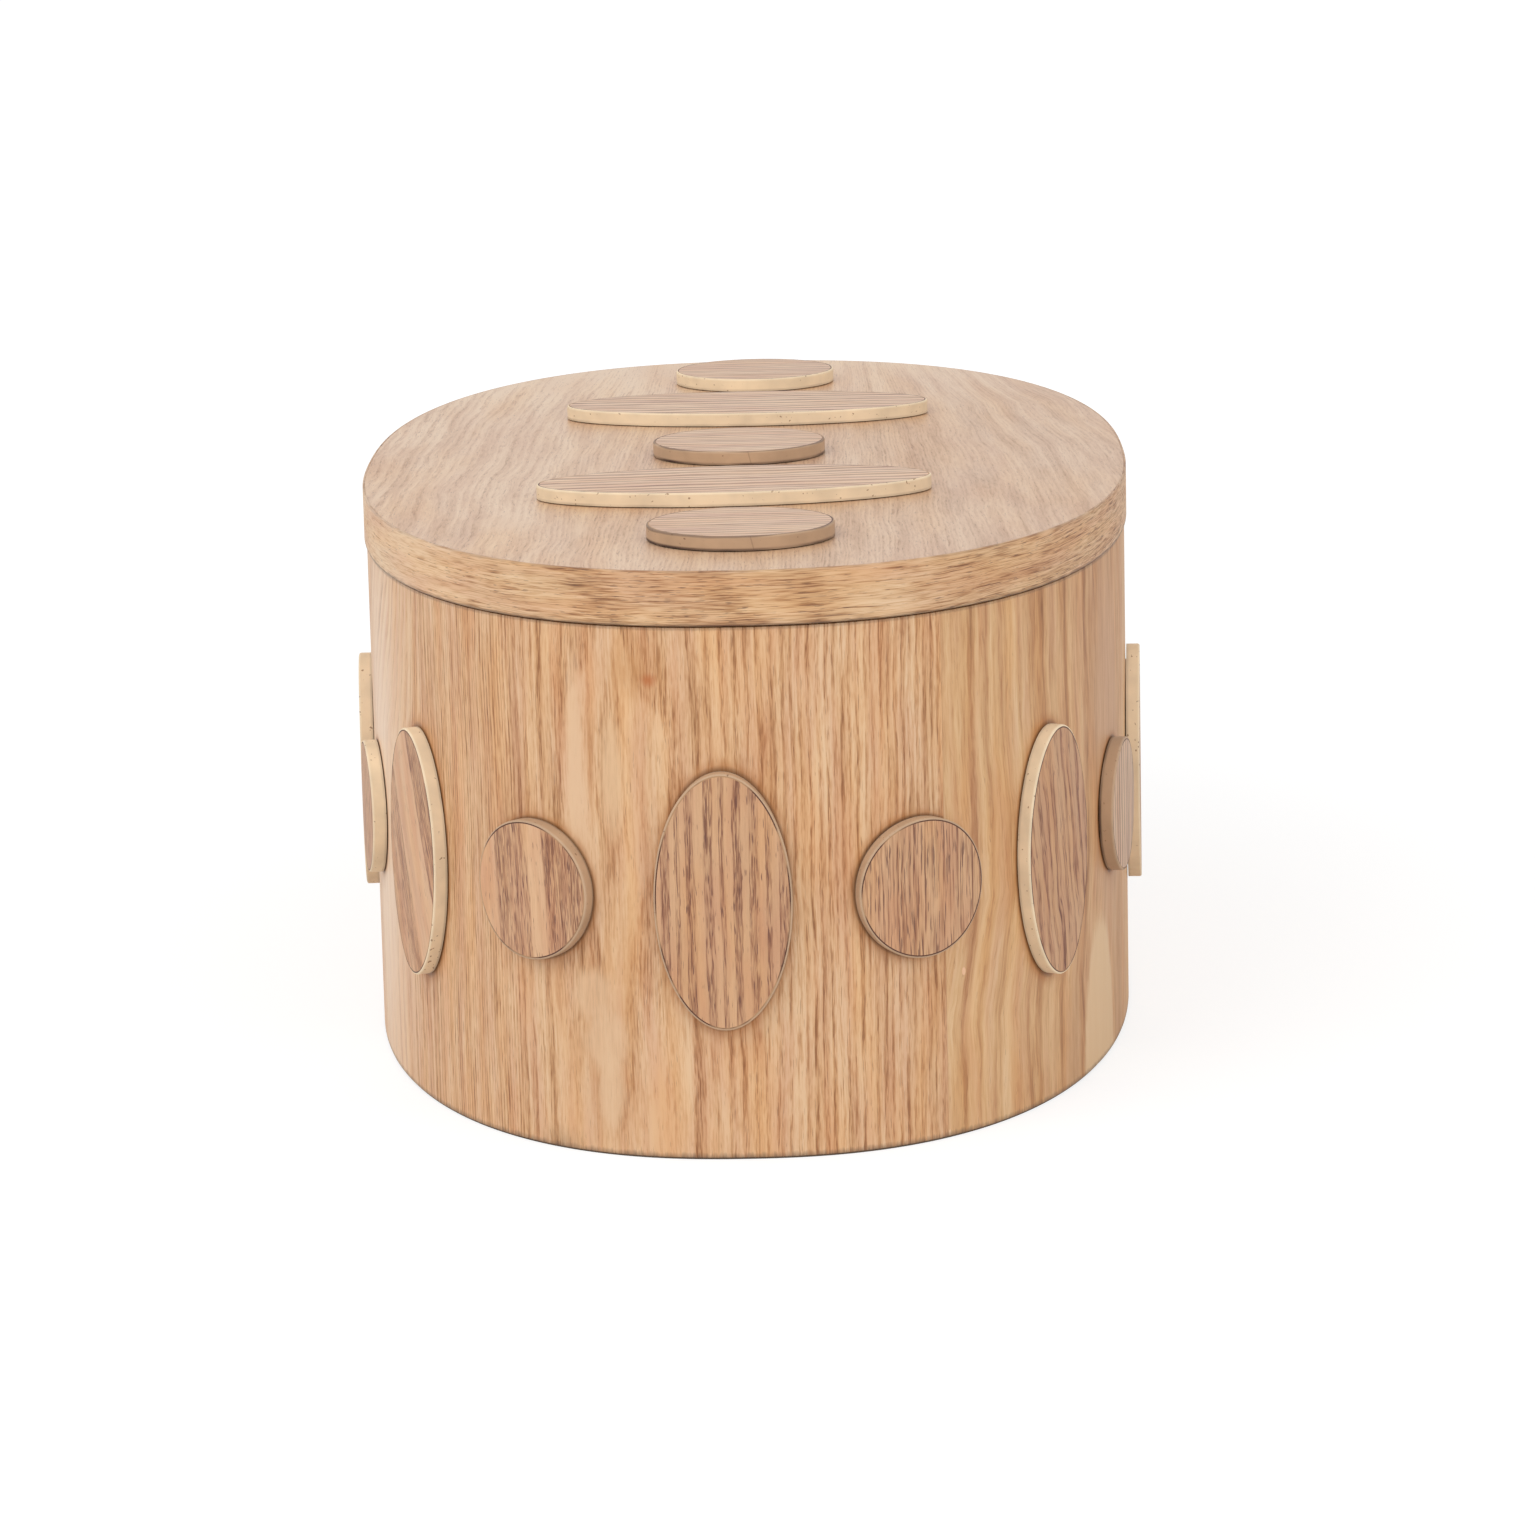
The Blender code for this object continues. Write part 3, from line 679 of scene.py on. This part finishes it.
faceLine = {
    "glue": "#55301F", "bareWood": "#BE946C", "wornScale": 0.06, "wornSpan": (0.48, 0.58), "worn": 0.85,
    "sandedAt": (-18, 0, 272),      # the left of the second round at the front
    "sandedReach": (9.0, 12.0),
}


def glueLineMaterial(name):
    # The dark line where a face veneer ends, worn through here and there and sanded away in one place
    material, tree, shader, board = woodMaterial(name, 0.6)
    worn = add(tree, "TexNoise", {"Vector": board, "Scale": faceLine["wornScale"], "Detail": 4.0})
    start, end = faceLine["wornSpan"]
    worn = add(tree, "MapRange", {0: worn, 1: start, 2: end, 4: faceLine["worn"]})
    away = add(tree, "VectorMath", {0: board, 1: faceLine["sandedAt"]}, operation="DISTANCE")
    start, end = faceLine["sandedReach"]
    sanded = add(tree, "MapRange", {0: away, 1: start, 2: end, 3: 1.0, 4: 0.0})
    worn = add(tree, "Math", {0: worn, 1: sanded}, operation="MAXIMUM")
    glue, bareWood = linearColour(faceLine["glue"]), linearColour(faceLine["bareWood"])
    final = add(tree, "Mix", {0: worn, 6: glue, 7: bareWood}, data_type="RGBA")
    tree.links.new(final.outputs[2], shader.inputs["Base Color"])
    return material


glueLine = glueLineMaterial("veneerGlueLine")

birch = {
    "wood": "#DDBE92", "grain": (1.2, 18), "seed": 4.0, "cloudSpan": (0.3, 0.7), "cloudTone": (0.88, 1.08),
    "ply": 1.2, "glue": "#9A6E46", "glueStrength": 0.5,
    "plyTone": ((0.0, 1.0), (0.12, 0.2), (0.9, 0.0), (1.0, 1.0)),
    # the core is painted dark up to these heights above the table: painted shade in the gap under the
    # veneers
    "shadeAndSoil": "#4A3A30", "shadedUpTo": (0.0007, 0.0011), "shadeStrength": 0.85,       # metres above the table
}


def birchPlywood(name):
    # Birch plywood, glued in 1.2 mm plies and sanded: pale cream with fine darker glue lines on its edges,
    # and painted shade where it nears the table
    material, tree, shader, board = woodMaterial(name, 0.65)
    depth = add(tree, "SeparateXYZ", {0: board}).outputs[1]
    plies = add(tree, "Math", {0: depth, 1: 1 / birch["ply"]}, operation="MULTIPLY")
    ply = add(tree, "Math", {0: plies}, operation="FRACT")
    line = add(tree, "ValToRGB", {0: ply}, stops=birch["plyTone"])
    line = add(tree, "Math", {0: line, 1: birch["glueStrength"]}, operation="MULTIPLY")
    cloud = streaks(tree, board, *birch["grain"], birch["seed"], 4, birch["cloudSpan"], birch["cloudTone"])
    final = add(tree, "Mix", {0: 1.0, 6: linearColour(birch["wood"]), 7: cloud}, data_type="RGBA",
                blend_type="MULTIPLY")
    final = add(tree, "Mix", {0: line, 6: final, 7: linearColour(birch["glue"])}, data_type="RGBA")
    # painted shade: the core darkens near the table
    height = add(tree, "SeparateXYZ", {0: add(tree, "TexCoord").outputs["Object"]}).outputs[2]
    start, end = birch["shadedUpTo"]
    shadedAndSoiled = add(tree, "MapRange", {0: height, 1: start, 2: end, 3: birch["shadeStrength"], 4: 0.0})
    final = add(tree, "Mix", {0: shadedAndSoiled, 6: final, 7: linearColour(birch["shadeAndSoil"])}, data_type="RGBA")
    tree.links.new(final.outputs[2], shader.inputs["Base Color"])
    return material


birchCore = birchPlywood("birchPlywoodCore")
print("edges and plywood made")

# The bent wall

wall = {
    "columns": 440,             # over the whole way round
    "arris": 0.00025,
    "overhang": 0.0007,         # the lid stands proud of the wall
    "veneer": 0.0006,
    "glue": 0.0003,
    "core": 0.0048,
    "jointWidth": 0.00005,
}
wholeWay = (-perimeter / 2, perimeter / 2)
outerArrises = ((0, 0), (0, 1))     # outer side, at the lower and the upper end


def bentStrip(name, span, depths, levels, grain, material, body, node, arrisAt=()):
    # span and depths in metres along and through the strip; arrisAt names the long edges to soften
    bm = bmesh.new()
    bmesh.ops.create_cube(bm, size=1)
    size = Vector((span[1] - span[0], depths[1] - depths[0], levels[1] - levels[0]))
    middle = Vector((sum(span), sum(depths), sum(levels))) / 2
    bmesh.ops.scale(bm, verts=bm.verts, vec=size)
    bmesh.ops.translate(bm, verts=bm.verts, vec=middle)
    for side, end in arrisAt:
        arris = Vector((depths[side], levels[end]))
        edges = [e for e in bm.edges if all((v.co.yz - arris).length < 1e-6 for v in e.verts)]
        softenEdges(bm, edges, wall["arris"])
    longEdges = [e for e in bm.edges if abs(e.verts[0].co.x - e.verts[1].co.x) > size.x / 2]
    cuts = max(1, round(wall["columns"] * size.x / perimeter) - 1)
    bmesh.ops.subdivide_edges(bm, edges=longEdges, cuts=cuts, use_grid_fill=True)
    markGrain(bm, grain)
    bend(bm)
    addPiece(bm, name, (material,), body, node)


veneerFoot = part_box("wall_veneer_left")[0][2]
veneerDepths = (wall["overhang"], wall["overhang"] + wall["veneer"])
halfJoint = wall["jointWidth"] / 2
leaves = (("wallVeneerRight", firstJoint, secondJoint, ashWallRight, "wall_veneer_right"),
          ("wallVeneerLeft", secondJoint - perimeter, firstJoint, ashWallLeft, "wall_veneer_left"))
for name, start, end, material, node in leaves:
    bentStrip(name, (start + halfJoint, end - halfJoint), veneerDepths, (veneerFoot, bodyTop), grainUp,
              material, "base", node, outerArrises)
coreInner = lidHigh[0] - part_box("wall_core")[1][0] + wall["core"]
bentStrip("wallCore", wholeWay, (veneerDepths[1], coreInner), (0, bodyTop), grainUp, birchCore, "base",
          "wall_core")
liningLow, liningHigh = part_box("wall_lining")
liningOuter = lidHigh[0] - liningHigh[0]
bentStrip("wallLining", wholeWay, (liningOuter, liningOuter + wall["veneer"]), (liningLow[2], bodyTop),
          grainUp, ashLining, "base", "wall_lining")
print("wall made")

# The flat boards of the floor and the lid


def boardPiece(name, inset, material, body, node):
    # an oval board whose edge lies inset from the lid's outline
    low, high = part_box(node)
    bm = bmesh.new()
    bmesh.ops.create_circle(bm, segments=wall["columns"], radius=1, cap_ends=True)
    rim = sorted(bm.verts, key=lambda v: math.atan2(v.co.x, -v.co.y) % (2 * math.pi))
    for k, corner in enumerate(rim):
        corner.co.xy = onOutline(perimeter * k / wall["columns"], inset)
    pulled = bmesh.ops.extrude_face_region(bm, geom=bm.faces[:])["geom"]
    bmesh.ops.translate(bm, verts=[p for p in pulled if isinstance(p, bmesh.types.BMVert)],
                        vec=(0, 0, high[2] - low[2]))
    bmesh.ops.translate(bm, verts=bm.verts, vec=(0, 0, low[2]))
    bmesh.ops.recalc_face_normals(bm, faces=bm.faces)
    markGrain(bm, grainAlongBox)
    addPiece(bm, name, (material,), body, node)


floorInset, boardInset, lowerInset = (lidHigh[0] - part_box(node)[1][0]
                                      for node in ("base_board", "lid_board", "lid_lower_veneer"))
topInset = wall["veneer"] + wall["jointWidth"]      # a hair's joint inside the lid's band
boardPiece("baseBoard", floorInset, birchCore, "base", "base_board")
boardPiece("baseVeneer", floorInset, ashLining, "base", "base_veneer")
boardPiece("lidBoard", boardInset, birchCore, "lid", "lid_board")
boardPiece("lidTopVeneer", topInset, ashLid, "lid", "lid_top_veneer")
boardPiece("lidLowerVeneer", lowerInset, ashLining, "lid", "lid_lower_veneer")

# The lid's band, and the ring that drops inside the wall

bentStrip("lidEdgeBand", (wholeWay[0] + halfJoint, wholeWay[1] - halfJoint), (0, wall["veneer"]),
          (lidLow[2], lidHigh[2]), grainRoundRim, ashRim, "lid", "lid_edge_band", outerArrises)
lidRing = {"thickness": 0.005}
ringLow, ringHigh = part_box("lid_ring")
ringOuter = lidHigh[0] - ringHigh[0]
bentStrip("lidRing", wholeWay, (ringOuter, ringOuter + lidRing["thickness"]), (ringLow[2], ringHigh[2]),
          grainRoundRim, birchCore, "lid", "lid_ring")
print("boards and lid made")

# The ovals and rounds

# face, edge, shift of the pattern across in mm, and tilt of the grain in degrees
sideLooks = (
    ("broad", "cream", 3, 0), ("striped", "cream", 0, 0), ("broad", "cream", -22.5, 20),
    ("broad", "tan", 0, 3), ("striped", "tan", 0, 0), ("fine", "tan", 0, 0),
    ("wavy", "cream", 2, 8), ("lidFine", "tan", 5, 0),
    ("striped", "cream", 1, 0), ("fine", "tan", 2, 2), ("striped", "cream", 4, -2), ("broad", "tan", 5, 5),
    ("striped", "cream", 3, 3), ("fine", "cream", 6, 0), ("broad", "tan", 0, -5), ("striped", "tan", 8, 0),
    ("fine", "cream", 9, -2), ("striped", "tan", 4, 4),
)


def discBlank(width, height, columnWidth=None):
    # lies flat with its face up; bent ones are sliced so that they can bend
    bm = bmesh.new()
    bmesh.ops.create_circle(bm, segments=trim["segments"], radius=1, cap_ends=True)
    bmesh.ops.scale(bm, verts=bm.verts, vec=(width / 2, height / 2, 1))
    pulled = bmesh.ops.extrude_face_region(bm, geom=bm.faces[:])["geom"]
    bmesh.ops.translate(bm, verts=[p for p in pulled if isinstance(p, bmesh.types.BMVert)],
                        vec=(0, 0, trim["thickness"]))
    bmesh.ops.recalc_face_normals(bm, faces=bm.faces)
    upper = [e for e in bm.edges if all(v.co.z > trim["thickness"] / 2 for v in e.verts)]
    softenEdges(bm, upper, trim["arris"])
    for face in bm.faces:
        face.material_index = 0 if face.normal.z > 0.99 else 1
    top = [f for f in bm.faces if f.material_index == 0]
    for face in bmesh.ops.inset_region(bm, faces=top, thickness=trim["line"], use_even_offset=True)["faces"]:
        face.material_index = 2
    if columnWidth:
        count = round(width / columnWidth)
        for k in range(1, count):
            place = -width / 2 + width * k / count
            bmesh.ops.bisect_plane(bm, geom=bm.verts[:] + bm.edges[:] + bm.faces[:], dist=1e-7,
                                   plane_co=(place, 0, 0), plane_no=(1, 0, 0))
    return bm


for k, (share, (faceKind, edgeKind, shift, tilt)) in enumerate(zip(sideShares, sideLooks)):
    oval = k % 2 == 0
    kind = "Oval" if oval else "Round"
    number = k // 2 + 1
    width = trim["ovalWidth"] if oval else trim["roundWidth"]
    height = trim["ovalHeight"] if oval else trim["roundWidth"]
    bm = discBlank(width, height, trim["columnWidth"])
    bm.transform(Matrix.Rotation(math.radians(90), 4, "X"))
    turn = Matrix.Rotation(math.radians(tilt), 3, "Y")
    markGrain(bm, turn @ grainUp, (shift, 0, k * trim["patternStep"]))
    seat = (share * perimeter, wall["overhang"] - wall["glue"], trim["middle"])
    bmesh.ops.translate(bm, verts=bm.verts, vec=seat)
    bend(bm)
    addPiece(bm, f"side{kind}{number}", (trimFaces[faceKind], trimEdges[edgeKind], glueLine), "base",
             f"side_{kind.lower()}_{number}")

# node, face, edge, turn of the piece in degrees, and shift of the pattern across in mm
lidRow = (
    ("lid_round_1", "lidFine", "lid", 0, 0), ("lid_oval_1", "lid", "cream", 3.5, 6),
    ("lid_round_2", "lidFine", "lid", 0, 11), ("lid_oval_2", "lid", "cream", -1.5, 17),
    ("lid_round_3", "lidFine", "cream", 0, 23),
)
for k, (node, faceKind, edgeKind, turned, shift) in enumerate(lidRow):
    low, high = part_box(node)
    length = trim["lidOval"] if "oval" in node else trim["lidRound"]
    bm = discBlank(length, trim["lidRound"])
    markGrain(bm, grainAcrossBox, (shift, 0, k * trim["patternStep"]))
    place = Matrix.Translation(((low[0] + high[0]) / 2, (low[1] + high[1]) / 2, low[2]))
    bm.transform(place @ Matrix.Rotation(math.radians(turned), 4, "Z"))
    name = "lid" + node.split("_")[1].title() + node[-1]
    addPiece(bm, name, (trimFaces[faceKind], trimEdges[edgeKind], glueLine), "lid", node)
print("ovals and rounds made")

# Floor, light and camera

studio = {
    "floorSize": 12.0, "floorTone": 0.34, "floorBounce": 0.8,
    # the glow is dimmer near the box: painted shade round it
    "nearGlow": 0.72, "farGlow": 0.8, "glowReach": (0.4, 1.6), "sky": 0.75,
    "aim": (0, 0, 0.08),
    "keyPower": 11, "keyPlace": (-0.9, -1.1, 1.5), "keySize": 1.2,
    "sidePower": 1, "sidePlace": (-1.5, 0.1, 0.5), "sideSize": 1.0,
    "fillPower": 6, "fillPlace": (1.1, -1.3, 0.9), "fillSize": 1.4,
}
bm = bmesh.new()
bmesh.ops.create_grid(bm, x_segments=1, y_segments=1, size=studio["floorSize"] / 2)
floorMesh = bpy.data.meshes.new("studioFloor")
bm.to_mesh(floorMesh)
bm.free()
floor = bpy.data.objects.new("studioFloor", floorMesh)
bpy.context.scene.collection.objects.link(floor)
paper = bpy.data.materials.new("whitePaperSweep")   # matt paper that keeps the box's shadow
paper.use_nodes = True
tree = paper.node_tree
tree.nodes.remove(tree.nodes["Principled BSDF"])
seen = add(tree, "LightPath")
matt = add(tree, "BsdfDiffuse", {"Color": (studio["floorTone"],) * 3 + (1,)})
# painted shade: the paper's glow dims towards the box
away = add(tree, "VectorMath", {0: add(tree, "TexCoord").outputs["Object"]}, operation="LENGTH")
start, end = studio["glowReach"]
glowDimmedNearBox = add(tree, "MapRange", {0: away, 1: start, 2: end, 3: studio["nearGlow"],
                               4: studio["farGlow"]}, interpolation_type="SMOOTHSTEP")
glow = add(tree, "Emission", {"Color": (1, 1, 1, 1), "Strength": glowDimmedNearBox})
shown = add(tree, "AddShader", {0: matt, 1: glow})
bounce = add(tree, "BsdfDiffuse", {"Color": (studio["floorBounce"],) * 3 + (1,)})
both = add(tree, "MixShader", {0: seen.outputs["Is Camera Ray"], 1: bounce, 2: shown})
tree.links.new(both.outputs[0], tree.nodes["Material Output"].inputs["Surface"])
floorMesh.materials.append(paper)

world = bpy.data.worlds.new("whiteStudio")          # white to the eye, and plain soft light on the box
world.use_nodes = True
bpy.context.scene.world = world
tree = world.node_tree
seen = add(tree, "LightPath")
direct = add(tree, "Math", {0: seen.outputs["Is Camera Ray"], 1: seen.outputs["Is Glossy Ray"]},
             operation="MAXIMUM")
direct = add(tree, "Math", {0: direct, 1: seen.outputs["Is Transmission Ray"]}, operation="MAXIMUM")
level = add(tree, "MapRange", {0: direct, 3: studio["sky"], 4: 1.0})
background = tree.nodes["Background"]
background.inputs["Color"].default_value = (1, 1, 1, 1)
tree.links.new(level.outputs[0], background.inputs["Strength"])

for kind in ("key", "side", "fill"):
    light = bpy.data.lights.new(kind + "Softbox", "AREA")
    light.energy = studio[kind + "Power"]
    light.size = studio[kind + "Size"]
    lamp = bpy.data.objects.new(kind + "Softbox", light)
    lamp.location = studio[kind + "Place"]
    facing = Vector(studio["aim"]) - Vector(studio[kind + "Place"])
    lamp.rotation_euler = facing.to_track_quat("-Z", "Y").to_euler()
    bpy.context.scene.collection.objects.link(lamp)

shot = {"place": (0.0263, -1.6830, 0.4101), "aim": (0.00459, 0.0, 0.06474), "roll": -1.318, "lens": 130.75}
cameraData = bpy.data.cameras.new("photoCamera")
cameraData.sensor_width = 36
cameraData.lens = shot["lens"]
camera = bpy.data.objects.new("photoCamera", cameraData)
facing = (Vector(shot["aim"]) - Vector(shot["place"])).to_track_quat("-Z", "Y").to_matrix().to_4x4()
roll = Matrix.Rotation(math.radians(shot["roll"]), 4, "Z")
camera.matrix_world = Matrix.Translation(shot["place"]) @ facing @ roll
bpy.context.scene.collection.objects.link(camera)
bpy.context.scene.camera = camera
bpy.context.scene.view_settings.view_transform = "Standard"
print("studio set")
